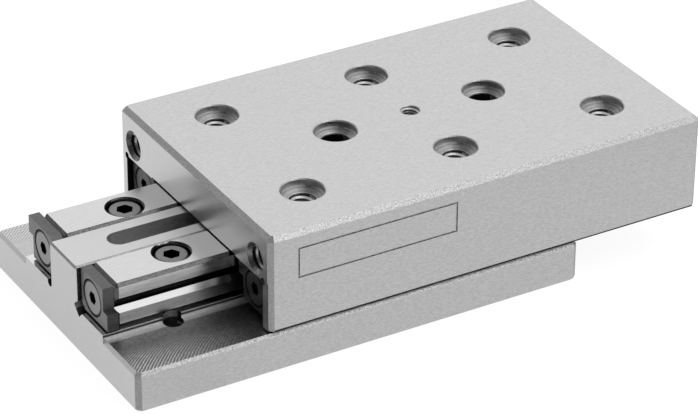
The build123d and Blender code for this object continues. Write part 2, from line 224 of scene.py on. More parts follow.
class SlideStage(bpy.types.PropertyGroup):
    """Floor, light and camera."""

    azimuth: FloatProperty(
        name="Azimuth", description="Camera's turn about the vertical, from the near side",
        default=math.radians(-30.48), subtype="ANGLE")
    elevation: FloatProperty(
        name="Elevation", description="Camera's height above the horizon",
        default=math.radians(30.007), subtype="ANGLE")
    roll: FloatProperty(
        name="Roll", description="Camera's turn about its own axis",
        default=math.radians(0.408), subtype="ANGLE")
    sensor: FloatProperty(
        name="Sensor", description="Width of the camera's sensor in millimetres",
        default=36.0, subtype="UNSIGNED")
    lens: FloatProperty(
        name="Lens", description="Focal length in millimetres", default=173.47, subtype="UNSIGNED")
    distance: FloatProperty(
        name="Distance", description="From the camera to its target",
        default=560.868 * MM, unit="LENGTH")
    nearest: FloatProperty(
        name="Nearest", description="From the camera to the nearest thing it shows",
        default=10 * MM, unit="LENGTH")
    target: FloatVectorProperty(
        name="Target", description="Point in the middle of the view",
        default=(17.518 * MM, 9.985 * MM, 2.332 * MM), subtype="XYZ")
    floor_colour: StringProperty(name="Floor", description="Colour of the floor", default="#F4F4F4")
    floor_reach: FloatProperty(
        name="Floor reach", description="From the middle of the floor to its edge",
        default=3.0, unit="LENGTH")
    floor_glow: FloatProperty(
        name="Floor glow", description="How much of the floor's own glow the camera and metal see",
        default=0.75, min=0.0, max=1.0, subtype="FACTOR")
    floor_in_view: FloatProperty(
        name="Floor in view", description="Strength of that glow to the camera",
        default=1.2, min=0.0)
    floor_in_metal: FloatProperty(
        name="Floor in metal", description="Strength of that glow in reflections",
        default=0.81, min=0.0)
    floor_far: FloatProperty(
        name="Floor far off", description="Strength of the glow in reflections outside the pool",
        default=0.15, min=0.0)
    pool_radius: FloatProperty(
        name="Pool", description="Radius of the evenly glowing floor round the object",
        default=100 * MM, unit="LENGTH")
    pool_edge: FloatProperty(
        name="Pool edge", description="Radius at which the glow has sunk to that of the floor far off",
        default=250 * MM, unit="LENGTH")
    sky_middle: FloatProperty(
        name="Sky", description="Light from the horizon across the travel", default=0.43, min=0.0)
    sky_rise: FloatProperty(
        name="Overhead", description="Light added straight above", default=0.3, min=0.0)
    sky_lean: FloatProperty(
        name="Lean", description="Light added along +X and taken away along -X",
        default=0.36, min=0.0)
    sky_sides: FloatProperty(
        name="Sides", description="Light added across the travel, on both sides",
        default=0.44, min=0.0)
    sky_end: FloatProperty(
        name="Dim end", description="Share of the light left along -X, where the channel opens",
        default=0.1, min=0.0, max=1.0)
    sky_end_reach: FloatProperty(
        name="Dim end reach", description="Size of X at which a direction is at its dimmest",
        default=0.9, min=0.0, max=1.0)
    sky_far_lift: FloatProperty(
        name="Far side lift", description="How much sooner the dim end brightens on the far side",
        default=0.6, min=0.0)
    sky_least: FloatProperty(
        name="Least sky", description="Light from the darkest side", default=0.05, min=0.0)
    key_power: FloatProperty(
        name="Key lamp", description="Power of the soft lamp overhead on the near side, in watts",
        default=0.6, min=0.0)
    key_size: FloatProperty(
        name="Key lamp size", description="Side of the soft lamp", default=0.5, unit="LENGTH")
    key_place: FloatVectorProperty(
        name="Key lamp place", description="Middle of the soft lamp", default=(0.28, -0.35, 0.8),
        subtype="XYZ")


# Helpers


def linear(hex_colour):
    """An sRGB hex colour as linear values with an alpha of 1."""
    parts = [int(hex_colour[i:i + 2], 16) / 255 for i in (1, 3, 5)]
    return [c / 12.92 if c <= 0.04045 else ((c + 0.055) / 1.055) ** 2.4 for c in parts] + [1.0]


def add_node(tree, kind, inputs=(), **settings):
    """Add a node with its settings, and give its inputs values or links.

    Inputs are named in a dict, or stand in the order of those in use. A link comes from a socket,
    or from the first output in use of a node.
    """
    node = tree.nodes.new("ShaderNode" + kind)
    for name, setting in settings.items():
        setattr(node, name, setting)
    if isinstance(inputs, dict):
        pairs = [(node.inputs[name], value) for name, value in inputs.items()]
    else:
        pairs = zip([socket for socket in node.inputs if socket.enabled], inputs)
    for socket, value in pairs:
        if isinstance(value, bpy.types.Node):
            value = next(output for output in value.outputs if output.enabled)
        if isinstance(value, bpy.types.NodeSocket):
            tree.links.new(value, socket)
        else:
            socket.default_value = value
    return node


def new_finish(name):
    """A material without a surface yet, and the coordinates that its patterns read."""
    material = bpy.data.materials.new(name)
    material.use_nodes = True
    tree = material.node_tree
    tree.nodes.clear()
    return material, tree, add_node(tree, "TexCoord")


def end_finish(material, colour, roughness, height=None, depth=0.0, metallic=1.0):
    """Give a finish its surface, where height and depth are bumps of a real size in metres."""
    tree = material.node_tree
    inputs = {"Base Color": colour, "Metallic": metallic, "Roughness": roughness}
    if height is not None:
        inputs["Normal"] = add_node(tree, "Bump", {"Height": height, "Distance": depth})
    add_node(tree, "OutputMaterial", {"Surface": add_node(tree, "BsdfPrincipled", inputs)})


def wear(names, material):
    """Give a finish to CAD nodes."""
    for name in names:
        slots = NODES[name].data.materials
        slots.clear()
        slots.append(material)


def named(*starts):
    """Names of the nodes that start in one of some ways."""
    return [name for name in sorted(NODES) if name.startswith(starts)]


# Patterns and colours


def sharpened(tree, noise):
    """Noise, which lies mostly about its middle, stretched to run from 0 to 1."""
    return add_node(tree, "MapRange", {"Value": noise, "From Min": 0.35, "From Max": 0.65})


def lines_along_travel(tree, place, length, width):
    """Tracks along X, length long and width across, from 0 to 1."""
    drawn_out = add_node(tree, "Mapping", {
        "Vector": place.outputs["Object"], "Scale": (1 / length, 1 / width, 1 / width)})
    return sharpened(tree, add_node(tree, "TexNoise", {
        "Vector": drawn_out, "Scale": 1.0, "Detail": 2.0, "Roughness": 0.6}))


def flecks(tree, place, size):
    """Specks of one size in every direction, from 0 to 1."""
    return add_node(tree, "TexNoise", {
        "Vector": place.outputs["Object"], "Scale": 1 / size, "Detail": 3.0, "Roughness": 0.65})


def tone(tree, pattern, dark, light):
    """A colour that a pattern turns from one hex colour into another."""
    return add_node(tree, "Mix", (pattern, linear(dark), linear(light)), data_type="RGBA")


def paint(tree, under, mask, pattern, dark, light):
    """Such a colour, laid over another where a mask is 1."""
    return add_node(tree, "Mix", (mask, under, tone(tree, pattern, dark, light)), data_type="RGBA")


# Measures and masks


def joined(tree, operation, *terms):
    """Terms joined one after the other by the same operation."""
    result = terms[0]
    for term in terms[1:]:
        result = add_node(tree, "Math", (result, term), operation=operation)
    return result


def all_of(tree, *masks):
    """1 where every mask is 1."""
    return joined(tree, "MULTIPLY", *masks)


def any_of(tree, *masks):
    """1 where one of the masks is 1."""
    return joined(tree, "MAXIMUM", *masks)


def within(tree, *limits):
    """1 where each measure lies between its low and its high limit; None stands for no limit."""
    return all_of(tree, *[
        add_node(tree, "Math", (measure, limit), operation=operation)
        for measure, low, high in limits
        for limit, operation in ((low, "GREATER_THAN"), (high, "LESS_THAN"))
        if limit is not None])


def around(measure, middle, reach):
    """The limits of a measure that lies within reach of a middle."""
    return measure, middle - reach, middle + reach


def off(tree, measure, middle=0.0):
    """Distance of a measure from a middle, to either side."""
    return add_node(tree, "Math", (joined(tree, "SUBTRACT", measure, middle),), operation="ABSOLUTE")


def spot_of(tree, place):
    """Where a point lies along X, Y and Z."""
    return add_node(tree, "SeparateXYZ", (place.outputs["Object"],)).outputs


def tilt_of(tree, place):
    """How much of a face's normal lies along X, Y and Z, whichever way the face looks."""
    normal = add_node(tree, "VectorMath", (place.outputs["Normal"],), operation="ABSOLUTE")
    return add_node(tree, "SeparateXYZ", (normal,)).outputs


def facing_up(tree, place):
    """How much a face looks up: 1 on level faces, and -1 on the undersides."""
    return add_node(tree, "SeparateXYZ", (place.outputs["Normal"],)).outputs["Z"]


def straight_bevel(tree, tilt):
    """1 on bevels between two square faces, and 0 on the faces themselves and on cones."""
    return within(tree, (joined(tree, "MINIMUM", *tilt), None, LYING_ALONG),
                  (joined(tree, "MAXIMUM", *tilt), None, BEVEL_MOST))


# Finishes


class SLIDE_OT_carriage_finish(bpy.types.Operator):
    """Finish the carriage in fine-ground steel"""

    bl_idname = "slide.carriage_finish"
    bl_label = "Carriage finish"

    # The outer edges with their bevels, and the part of each leg's foot over the gap
    edge = 0.7 * MM
    foot_height = 0.24 * MM
    # The engraved frame: its distance from the ends and from the top, and the depths of its floor
    frame_inset_x = 2.0 * MM
    frame_inset_z = 1.5 * MM
    frame_floor = (0.02 * MM, 0.5 * MM)
    # Half the length and width of the field of top holes, and depths of their walls and ledges
    hole_field = Vector((33 * MM, 19 * MM))
    recess = (0.05 * MM, 1.1 * MM)
    ledge = (1.35 * MM, 2.1 * MM)
    # The depth from which holes are dark, the top of the channel over the rails, and the reach of
    # the countersinks in the end faces
    dark_depth = 1.75 * MM
    channel_rise = 0.3 * MM
    end_hole_reach = 3.0 * MM

    def execute(self, context):
        finishes = context.scene.slide_finishes
        threads = context.scene.slide_threads
        # Tool steel, ground along the travel: a pale even sheen with faint straight tracks.
        # Real tracks are finer than the picture shows, so they are drawn a few times as wide.
        material, tree, place = new_finish("ground_tool_steel")
        tracks = lines_along_travel(tree, place, finishes.grinding_length, finishes.grinding_width)
        specks = sharpened(tree, flecks(tree, place, size=0.22 * MM))
        spot = spot_of(tree, place)
        tilt = tilt_of(tree, place)
        bevel = straight_bevel(tree, tilt)
        off_side = off(tree, spot["Y"])
        off_end = off(tree, spot["X"], CARRIAGE_MIDDLE)
        depth = joined(tree, "SUBTRACT", CARRIAGE_HIGH.z, spot["Z"])

        # The end faces are painted brighter, as lit.
        colour = tone(tree, tracks, finishes.ground_dark, finishes.ground_light)
        on_end = within(tree, (tilt["X"], LEANING, None))
        colour = paint(tree, colour, on_end, tracks, finishes.painted_lit_dark, finishes.painted_lit_light)
        # Bevels are milled and left: duller than the faces, with fine flecks. Those that lie across the
        # ends are a little brighter, and those that look up along the sides are painted bright, as lit.
        colour = paint(tree, colour, bevel, specks, finishes.bevel_dark, finishes.bevel_light)
        lying = all_of(tree, bevel, on_end, within(tree, (tilt["Z"], TURNED, None)))
        colour = paint(tree, colour, lying, specks, finishes.bevel_dark, finishes.ground_dark)
        rising = all_of(tree, bevel, within(
            tree, (tilt["Y"], TURNED, None), (facing_up(tree, place), TURNED, None)))
        colour = paint(tree, colour, rising, specks, finishes.bevel_dark, finishes.ground_light)
        # The engraved frame is painted darker, and the foot of each leg, over the gap, is painted dark,
        # as shade in the gap.
        shallow, deep = self.frame_floor
        engraved = within(
            tree, (off_side, CARRIAGE_HIGH.y - deep, CARRIAGE_HIGH.y - shallow),
            (spot["Z"], CARRIAGE_LOW.z + self.frame_inset_z, CARRIAGE_HIGH.z - self.frame_inset_z),
            (off_end, None, CARRIAGE_HALF - self.frame_inset_x))
        colour = paint(tree, colour, engraved, tracks, finishes.cap_dark, finishes.bevel_light)
        foot = within(tree, (spot["Z"], None, CARRIAGE_LOW.z + self.foot_height),
                      (tilt["X"], None, LEANING))
        colour = paint(tree, colour, foot, tracks, finishes.socket_dark, finishes.painted_shade_dark)
        # The recesses of the top holes have a wall painted dark, as shade, a ledge painted bright, as a
        # highlight, and a grey cone below.
        in_top = within(tree, (tilt["Z"], None, FLAT), (off_end, None, self.hole_field.x),
                        (off_side, None, self.hole_field.y))
        wall, ledge = (all_of(tree, in_top, within(tree, (depth, *limits)))
                       for limits in (self.recess, self.ledge))
        colour = paint(tree, colour, wall, tracks, finishes.bevel_dark, finishes.ground_dark)
        colour = paint(tree, colour, ledge, tracks, finishes.ground_light, finishes.painted_lit_light)
        # The countersinks of the end holes are turned and half in shade.
        sunk = within(tree, (tilt["X"], None, SQUARE),
                      around(off_side, CARRIAGE_HIGH.y - threads.end_inset, self.end_hole_reach),
                      around(depth, threads.end_drop, self.end_hole_reach))
        colour = paint(tree, colour, sunk, tracks, finishes.painted_shade_dark, finishes.bevel_light)
        # Holes, channel and pockets are machined, and painted darker than the outside, as shade, and the
        # channel is so up to its open ends.
        off_mouth = within(tree, (off_end, None, CARRIAGE_HALF - self.edge))
        channel = within(tree, (spot["Z"], None, RAIL_HIGH.z + self.channel_rise))
        inner = all_of(tree, any_of(tree, off_mouth, channel), within(
            tree, (off_side, None, CARRIAGE_HIGH.y - self.edge), (tilt["X"], None, SQUARE),
            (depth, self.dark_depth, None)))
        colour = paint(tree, colour, inner, tracks, finishes.painted_shade_dark, finishes.painted_shade_light)

        roughness = add_node(tree, "MapRange", {"Value": tracks, "To Min": 0.28, "To Max": 0.42})
        end_finish(material, colour, roughness, height=tracks, depth=0.002 * MM)
        wear(["carriage"], material)
        return {"FINISHED"}


class SLIDE_OT_base_finish(bpy.types.Operator):
    """Finish the base in milled steel with ground seats"""

    bl_idname = "slide.base_finish"
    bl_label = "Base finish"

    # The outer edges with their bevels, the rib's edge, and skins that set faces apart
    edge_x = 0.7 * MM
    edge_y = 0.9 * MM
    rib_edge = 0.4 * MM
    end_skin = 0.01 * MM
    level_skin = 0.05 * MM
    # The flat of the flange, and the foot of the step that rises from it to the rails' seats
    flange_top = RAIL_LOW.z - 1.0 * MM
    step_foot = 14.5 * MM
    # From the ends and from the sides in, where the cutter's arcs grow faint, and the bright line
    first_bite = (17 * MM, 4 * MM)
    rim = (8 * MM, 4.5 * MM)
    rubbed_width = 0.5 * MM
    # Distances from the middle plane: the rib's sides, its root grooves, and from beside the rails
    # to the far wall of the tapped bores; and how far these bores stay from the ends
    rib_side = -RAIL_HIGH.y
    rib_skin = 0.2 * MM
    root_groove = (3.6 * MM, 6.6 * MM)
    rail_side = -RAIL_LOW.y + 0.1 * MM
    tapped_to = 17.5 * MM
    seat_end = 2.0 * MM
    # Lowest and highest places, over the flange, of what is dark there and of the bright turn
    bore_rise = (0.3 * MM - flange_top, -0.1 * MM)
    groove_rise = (-0.4 * MM, 0.95 * MM)
    step_rise = (0.45 * MM, 0.85 * MM)
    notch_rise = (-0.2 * MM, 0.98 * MM)
    turn_rise = (-1.3 * MM, -0.8 * MM)

    def execute(self, context):
        finishes = context.scene.slide_finishes
        # Tool steel: ground seats, rib and sides, and flanges left as the face mill cut them, with
        # its arcs crossing where the cutter's back edge drags.
        material, tree, place = new_finish("milled_tool_steel")
        tracks = lines_along_travel(tree, place, finishes.grinding_length, finishes.grinding_width)
        spot = spot_of(tree, place)
        tilt = tilt_of(tree, place)
        up = facing_up(tree, place)
        bevel = straight_bevel(tree, tilt)
        side = off(tree, spot["Y"])
        off_end = off(tree, spot["X"])

        # The cutter's middle runs outside each flange, and its leading and trailing edges leave arcs
        # that bend opposite ways.
        across = joined(tree, "SUBTRACT", side, BASE_HIGH.y + finishes.milling_beyond)
        square = joined(tree, "SUBTRACT", finishes.milling_radius ** 2,
                        joined(tree, "MULTIPLY", across, across))
        sagitta = add_node(tree, "Math", (joined(tree, "MAXIMUM", square, 0.0),), operation="SQRT")
        wander = flecks(tree, place, size=3.0 * MM)
        along = joined(tree, "ADD", spot["X"],
                       joined(tree, "MULTIPLY", wander, finishes.milling_wander))
        turns = 2 * math.pi / finishes.milling_feed
        sweeps = [joined(tree, "MULTIPLY", joined(tree, way, along, sagitta), turns)
                  for way in ("ADD", "SUBTRACT")]
        leading, trailing = (add_node(tree, "Math", (sweep,), operation="SINE") for sweep in sweeps)
        # Arcs are plain where the cutter first bites, at the ends, and fade to specks by the seats.
        bite_from, bite_to = (BASE_HIGH.x - inset for inset in self.first_bite)
        ends = add_node(tree, "MapRange", {
            "Value": off_end, "From Min": bite_from, "From Max": bite_to, "To Min": 0.25})
        rim_from, rim_to = (BASE_HIGH.y - inset for inset in self.rim)
        rim = add_node(tree, "MapRange", {"Value": side, "From Min": rim_from, "From Max": rim_to})
        ridges = add_node(tree, "MapRange", {
            "Value": joined(tree, "ADD", leading, flecks(tree, place, size=0.8 * MM)),
            "From Min": 0.65, "From Max": 1.75})
        specks = sharpened(tree, flecks(tree, place, size=0.3 * MM))
        faint = add_node(tree, "MapRange", {"Value": specks, "To Max": 0.24})
        # Beside the foot of the step the cutter's edge has rubbed a bright line.
        rubbed = add_node(tree, "MapRange", {
            "Value": side, "From Min": self.step_foot, "From Max": self.step_foot + self.rubbed_width,
            "To Min": 0.7, "To Max": 0.0})
        arcs = joined(tree, "ADD", faint, joined(tree, "MULTIPLY", ridges, ends, rim), rubbed)
        arcs = joined(tree, "MINIMUM", arcs, 1.0)
        # The far flange was cut finer, with the arcs of both passes, and is painted brighter, as lit.
        hatch = add_node(tree, "MapRange", {
            "Value": joined(tree, "ADD", leading, trailing, specks),
            "From Min": -1.5, "From Max": 2.5})

        # The ends are painted brightest, as lit. So are the seats beside and before the rails, and the
        # rib's top nearly so.
        ground = tone(tree, tracks, finishes.ground_dark, finishes.ground_light)
        on_end = within(tree, (tilt["X"], LEANING, None))
        ground = paint(tree, ground, on_end, tracks, finishes.painted_lit_dark, finishes.painted_lit_light)
        on_seat, on_crown, on_flange = (
            within(tree, (up, SQUARE, None), around(spot["Z"], level, self.level_skin))
            for level in (RAIL_LOW.z, BASE_HIGH.z, self.flange_top))
        ground = paint(tree, ground, on_seat, tracks, finishes.painted_lit_dark, finishes.painted_lit_light)
        ground = paint(tree, ground, on_crown, tracks, finishes.ground_light, finishes.painted_lit_dark)
        colour = paint(tree, ground, on_flange, arcs, finishes.milled_dark, finishes.milled_light)
        far_flange = all_of(tree, on_flange, within(tree, (spot["Y"], 0.0, None)))
        colour = paint(tree, colour, far_flange, hatch, finishes.bevel_dark, finishes.painted_lit_light)
        # The long bevels of the flanges are duller than the faces.
        at_side = within(tree, (side, BASE_HIGH.y - self.edge_y, None))
        lying = all_of(tree, bevel, at_side, within(tree, (up, TURNED, None)))
        colour = paint(tree, colour, lying, specks, finishes.bevel_dark, finishes.ground_light)
        # The upright corners and the rib's edges are filed and left flecked.
        upright = all_of(tree, at_side, within(tree, (tilt["Z"], None, LYING_ALONG)))
        on_rib = within(tree, (spot["Z"], BASE_HIGH.z - self.rib_edge, None))
        filed = all_of(tree, bevel, any_of(tree, upright, on_rib))
        colour = paint(tree, colour, filed, sharpened(tree, flecks(tree, place, size=0.22 * MM)),
                       finishes.bevel_dark, finishes.bevel_light)

        # Bores, the grooves at the roots of the rib and the foot of each seat are painted dark, as
        # shade.
        rise = joined(tree, "SUBTRACT", spot["Z"], self.flange_top)
        inside = within(tree, (off_end, None, BASE_HIGH.x - self.end_skin))
        off_seat_end = within(tree, (off_end, None, BASE_HIGH.x - self.seat_end))
        bored = within(tree, (off_end, None, BASE_HIGH.x - self.edge_x),
                       (side, None, BASE_HIGH.y - self.edge_y), (rise, *self.bore_rise))
        grooved = all_of(tree, inside, within(
            tree, (side, *self.root_groove), (rise, *self.groove_rise)))
        step = all_of(tree, inside, within(
            tree, (tilt["Y"], SQUARE, None), (side, self.rail_side, self.step_foot),
            (rise, *self.step_rise)))
        flank = all_of(tree, inside, within(
            tree, (tilt["Y"], SQUARE, None), around(side, self.rib_side, self.rib_skin)))
        notch = all_of(tree, off_seat_end, within(
            tree, (tilt["Y"], None, FLAT), (tilt["Z"], None, LYING_ALONG),
            (side, self.rail_side, self.step_foot - self.end_skin), (rise, *self.notch_rise)))
        dark = any_of(tree, bored, grooved, step, flank, notch)
        colour = paint(tree, colour, dark, tracks, finishes.painted_shade_dark, finishes.painted_shade_light)
        # The bores beside the rails are tapped, and their second turn catches the light.
        turn = all_of(tree, off_seat_end, within(
            tree, (side, self.rail_side, self.tapped_to), (rise, *self.turn_rise)))
        colour = add_node(tree, "Mix", (turn, colour, ground), data_type="RGBA")

        # The seats are smooth, and the arcs are the deepest and dullest marks.
        elsewhere = joined(tree, "SUBTRACT", 1.0, on_seat)
        relief = add_node(tree, "Mix", (on_flange, all_of(tree, tracks, elsewhere), arcs),
                          data_type="FLOAT")
        dull = add_node(tree, "MapRange", {"Value": relief, "To Min": 0.36, "To Max": 0.52})
        gloss = add_node(tree, "MapRange", {"Value": on_seat, "To Max": 0.2})
        end_finish(material, colour, joined(tree, "SUBTRACT", dull, gloss),
                   height=relief, depth=0.008 * MM)
        wear(["base"], material)
        return {"FINISHED"}


class SLIDE_OT_rail_finish(bpy.types.Operator):
    """Finish the rails in fine-ground bearing steel"""

    bl_idname = "slide.rail_finish"
    bl_label = "Rail finish"

    # Half the height of the V groove and of the relief at its bottom
    groove_half = 1.6 * MM
    relief_half = 0.51 * MM
    # The shaded foot, the long edges with their bevels, and the band that the end bevels lie in
    foot_height = 0.5 * MM
    edge_y = 0.5 * MM
    end_band = (-0.71 * MM, 0.01 * MM)

    def execute(self, context):
        finishes = context.scene.slide_finishes
        # Hardened bearing steel, finely ground: brighter and smoother than the body, with flecked
        # bevels that keep the skin from hardening.
        material, tree, place = new_finish("ground_bearing_steel")
        tracks = lines_along_travel(tree, place, finishes.rail_stroke, finishes.grinding_width)
        spot = spot_of(tree, place)
        tilt = tilt_of(tree, place)
        up = facing_up(tree, place)
        side = off(tree, spot["Y"])
        off_middle = off(tree, spot["Z"], RAIL_LEVEL)

        # The upright faces are ground finest, and painted brightest, as lit.
        colour = tone(tree, tracks, finishes.rail_dark, finishes.rail_light)
        on_side = within(tree, (tilt["Y"], SQUARE, None))
        colour = paint(tree, colour, on_side, tracks, finishes.painted_lit_dark, finishes.painted_lit_light)
        # The flanks of the groove are tilted like the bevels, but ground bright.
        off_groove = any_of(tree, within(tree, (off_middle, self.groove_half, None)),
                            within(tree, (tilt["Z"], None, LYING_ALONG)))
        scaled = all_of(tree, straight_bevel(tree, tilt), off_groove)
        colour = paint(tree, colour, scaled, sharpened(tree, flecks(tree, place, size=0.2 * MM)),
                       finishes.scale_dark, finishes.scale_light)
        # The foot is in shade. Away from a rail's edges only the bores are tilted or upright, and they
        # are painted dark, as shade.
        foot = within(tree, (spot["Z"], None, RAIL_LOW.z + self.foot_height))
        colour = paint(tree, colour, foot, tracks, finishes.socket_dark, finishes.painted_shade_dark)
        amid = any_of(tree, *[
            within(tree, (off(tree, side, middle), None, RAIL_HALF_WIDTH - self.edge_y))
            for middle in (INNER_RAIL_MIDDLE, OUTER_RAIL_MIDDLE)])
        end_from, end_to = (RAIL_HALF + inset for inset in self.end_band)
        at_end = any_of(tree, *[
            within(tree, (off(tree, spot["X"], middle), end_from, end_to))
            for middle in (0.0, CARRIAGE_MIDDLE)])
        bores = all_of(tree, amid, joined(tree, "SUBTRACT", 1.0, at_end),
                       within(tree, (tilt["Z"], None, FLAT)))
        colour = paint(tree, colour, bores, tracks, finishes.socket_dark, finishes.painted_shade_light)
        # The relief at the bottom of the groove is painted dark, as shade, and the flank that hangs
        # above it less darkly so.
        in_groove = within(tree, (off_middle, None, self.groove_half), (tilt["X"], None, SQUARE))
        hanging = all_of(tree, in_groove, within(tree, (up, None, -LEANING)))
        colour = paint(tree, colour, hanging, tracks, finishes.painted_shade_light, finishes.bevel_light)
        lit = all_of(tree, in_groove, within(tree, (up, LEANING, None)))
        colour = paint(tree, colour, lit, tracks, finishes.bevel_light, finishes.ground_dark)
        relieved = all_of(tree, in_groove, within(tree, (off_middle, None, self.relief_half)))
        colour = paint(tree, colour, relieved, tracks, finishes.painted_shade_dark, finishes.painted_shade_light)

        roughness = add_node(tree, "MapRange", {"Value": tracks, "To Min": 0.15, "To Max": 0.24})
        end_finish(material, colour, roughness, height=tracks, depth=0.001 * MM)
        wear(named("inner_rail_near", "inner_rail_far", "outer_rail_near", "outer_rail_far"), material)
        return {"FINISHED"}


class SLIDE_OT_end_plate_finish(bpy.types.Operator):
    """Finish the end plates in black oxide"""

    bl_idname = "slide.end_plate_finish"
    bl_label = "End plate finish"

    # How much of the rubbing is fine grain, beside the soft patches
    grain_share = 0.4

    def execute(self, context):
        finishes = context.scene.slide_finishes
        # Mild steel in black oxide: a dark satin skin, rubbed paler in soft patches.
        material, tree, place = new_finish("black_oxide_steel")
        patches = flecks(tree, place, size=1.2 * MM)
        grain = flecks(tree, place, size=0.2 * MM)
        rubbed = add_node(tree, "Mix", (self.grain_share, patches, grain), data_type="FLOAT")
        # The flat fronts are painted paler than the edges, as lit.
        colour = tone(tree, rubbed, finishes.oxide_dark, finishes.oxide_light)
        front = within(tree, (tilt_of(tree, place)["X"], SQUARE, None))
        colour = paint(tree, colour, front, rubbed, finishes.lit_front_dark, finishes.lit_front_light)
        # Those of the carriage are painted darker all over, as in shade.
        side = off(tree, spot_of(tree, place)["Y"])
        outer = within(tree, (side, PLATE_PARTING, None))
        colour = paint(tree, colour, outer, rubbed, finishes.socket_dark, finishes.oxide_light)

        roughness = add_node(tree, "MapRange", {"Value": patches, "To Min": 0.38, "To Max": 0.55})
        end_finish(material, colour, roughness, height=grain, depth=0.006 * MM)
        plates = [name for name in named("inner_end_plate_", "outer_end_plate_")
                  if not name.endswith("screws")]
        wear(plates, material)
        return {"FINISHED"}


class SLIDE_OT_screw_finish(bpy.types.Operator):
    """Finish the flat-headed, cap and set screws"""

    bl_idname = "slide.screw_finish"
    bl_label = "Screw finish"

    # From a rail's end out to the floor of a flat head's socket, and half the band round it
    socket_floor = 1.25 * MM
    floor_reach = 0.3 * MM
    # Half the band of painted shade at a flat head's rim, and the depth at which a cap screw is painted
    # dark
    rim_reach = 0.28 * MM
    cap_socket_depth = 0.75 * MM

    def execute(self, context):
        finishes = context.scene.slide_finishes
        # Turned alloy steel, thinly blackened: the flat heads shine through as paler discs, and those on
        # the carriage's plates are painted darker, as in shade.
        material, tree, place = new_finish("turned_screw_steel")
        grain = flecks(tree, place, size=0.25 * MM)
        spot = spot_of(tree, place)
        side = off(tree, spot["Y"])
        colour = tone(tree, grain, finishes.head_dark, finishes.head_light)
        outer = within(tree, (side, PLATE_PARTING, None))
        colour = paint(tree, colour, outer, grain, finishes.oxide_dark, finishes.oxide_light)
        # The sockets are painted dark, as shade, and so is a band at the edge of each head, in the gap
        # beside its countersink.
        floors = [within(tree, around(off(tree, spot["X"], middle), RAIL_HALF + self.socket_floor,
                                      self.floor_reach))
                  for middle in (0.0, CARRIAGE_MIDDLE)]
        wall = within(tree, (tilt_of(tree, place)["X"], None, TURNED))
        folded = add_node(tree, "CombineXYZ", {"Y": side, "Z": spot["Z"]})
        off_axes = [
            add_node(tree, "VectorMath", (folded, (0.0, middle, RAIL_LEVEL)), operation="DISTANCE")
            for middle in (INNER_RAIL_MIDDLE, OUTER_RAIL_MIDDLE)]
        rims = [within(tree, around(off_axis, finishes.head_radius, self.rim_reach))
                for off_axis in off_axes]
        colour = paint(tree, colour, any_of(tree, *floors, wall, *rims), grain,
                       finishes.socket_dark, finishes.socket_light)

        roughness = add_node(tree, "MapRange", {"Value": grain, "To Min": 0.36, "To Max": 0.5})
        end_finish(material, colour, roughness, height=grain, depth=0.003 * MM)
        wear(["inner_end_plate_screws", "outer_end_plate_screws"], material)

        # Alloy steel socket screws in black oxide over a forged head: darker and more broken.
        material, tree, place = new_finish("oxide_screw_steel")
        grain = flecks(tree, place, size=0.3 * MM)
        colour = tone(tree, grain, finishes.cap_dark, finishes.cap_light)
        # Deeper than its top and on its upright faces, a cap screw is painted dark, as shade in its hole
        # and socket.
        off_middle = off(tree, spot_of(tree, place)["Z"], RAIL_LEVEL)
        deep = within(tree, (off_middle, None, RAIL_HALF_HEIGHT - self.cap_socket_depth))
        wall = within(tree, (tilt_of(tree, place)["Z"], None, TURNED))
        colour = paint(tree, colour, any_of(tree, deep, wall), grain,
                       finishes.socket_dark, finishes.socket_light)

        roughness = add_node(tree, "MapRange", {"Value": grain, "To Min": 0.32, "To Max": 0.5})
        end_finish(material, colour, roughness, height=grain, depth=0.006 * MM)
        wear(["inner_rail_screws", "outer_rail_screws", "preload_screws", "travel_stop_screw"],
             material)
        return {"FINISHED"}


class SLIDE_OT_roller_finish(bpy.types.Operator):
    """Finish the rollers and their cages"""

    bl_idname = "slide.roller_finish"
    bl_label = "Roller and cage finish"

    def execute(self, context):
        finishes = context.scene.slide_finishes
        # Bearing steel, lapped: near a mirror, with the finest of haze.
        material, tree, place = new_finish("lapped_bearing_steel")
        haze = flecks(tree, place, size=0.3 * MM)
        end_finish(material, tone(tree, haze, finishes.roller_dark, finishes.roller_light),
                   add_node(tree, "MapRange", {"Value": haze, "To Min": 0.12, "To Max": 0.2}))
        wear(named("roller_"), material)

        # Acetal, injection moulded: a soft ivory with a waxy sheen.
        material, tree, place = new_finish("moulded_acetal")
        cloud = flecks(tree, place, size=1.0 * MM)
        end_finish(material, tone(tree, cloud, finishes.cage_dark, finishes.cage_light),
                   add_node(tree, "MapRange", {"Value": cloud, "To Min": 0.4, "To Max": 0.52}),
                   metallic=0.0)
        wear(["cage_near", "cage_far"], material)
        return {"FINISHED"}


# Threads

# Half the width of a ridge at its root and at its crest, and its rise, as shares of the pitch, and
# how far the root is sunk in the wall of the hole
ROOT_HALF = 0.42
CREST_HALF = 0.07
CREST_RISE = 0.5
ROOT_SUNK = 0.03 * MM


def cut_thread(bm, mouth, inward, radius, start, end, pitch, steps):
    """One rising ridge on a hole's wall, from a depth to another, with blunt crests."""
    across = inward.orthogonal().normalized()
    root = radius + ROOT_SUNK
    crest = radius - CREST_RISE * pitch
    outline = ((root, -ROOT_HALF), (crest, -CREST_HALF), (crest, CREST_HALF), (root, ROOT_HALF))
    corners = [
        bm.verts.new(mouth + across * reach + inward * (start + along * pitch))
        for reach, along in outline
    ]
    profile = bm.faces.new(corners)
    count = int((end - start) / pitch * steps)
    bmesh.ops.spin(
        bm, geom=[profile, *profile.edges, *corners], cent=mouth, axis=inward,
        dvec=inward * pitch / steps, angle=count * 2 * math.pi / steps, steps=count,
        use_merge=False, use_duplicate=False)


